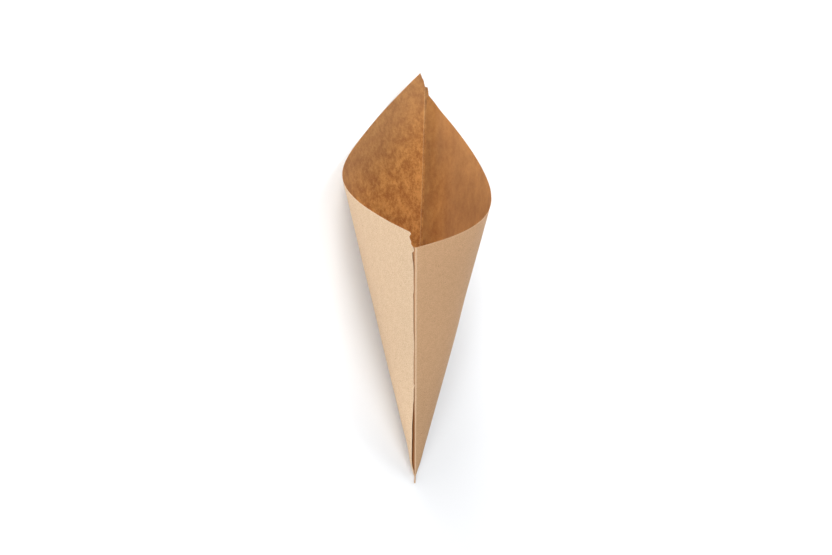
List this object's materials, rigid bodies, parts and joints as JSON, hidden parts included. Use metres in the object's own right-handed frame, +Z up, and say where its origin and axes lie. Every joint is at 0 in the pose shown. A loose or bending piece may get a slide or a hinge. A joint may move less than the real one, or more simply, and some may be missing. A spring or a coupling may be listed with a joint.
{
  "type": "paper cone bag",
  "caption": "Pointed paper bag, a cone rolled from one folded kraft sheet with a lapped seam, opened and lying on its flank.",
  "frame": {"origin": "centre of the bounding box on the surface the bag lies on", "axes": "+Y from the tip to the mouth, +Z up, +X to the side where the lapped seam climbs"},
  "size_m": [0.0992, 0.2612, 0.0854],
  "materials": {
    "kraft_paper": "matte"
  },
  "bodies": {
    "root": {"paper_cone": "kraft_paper"}
  },
  "joints": []
}
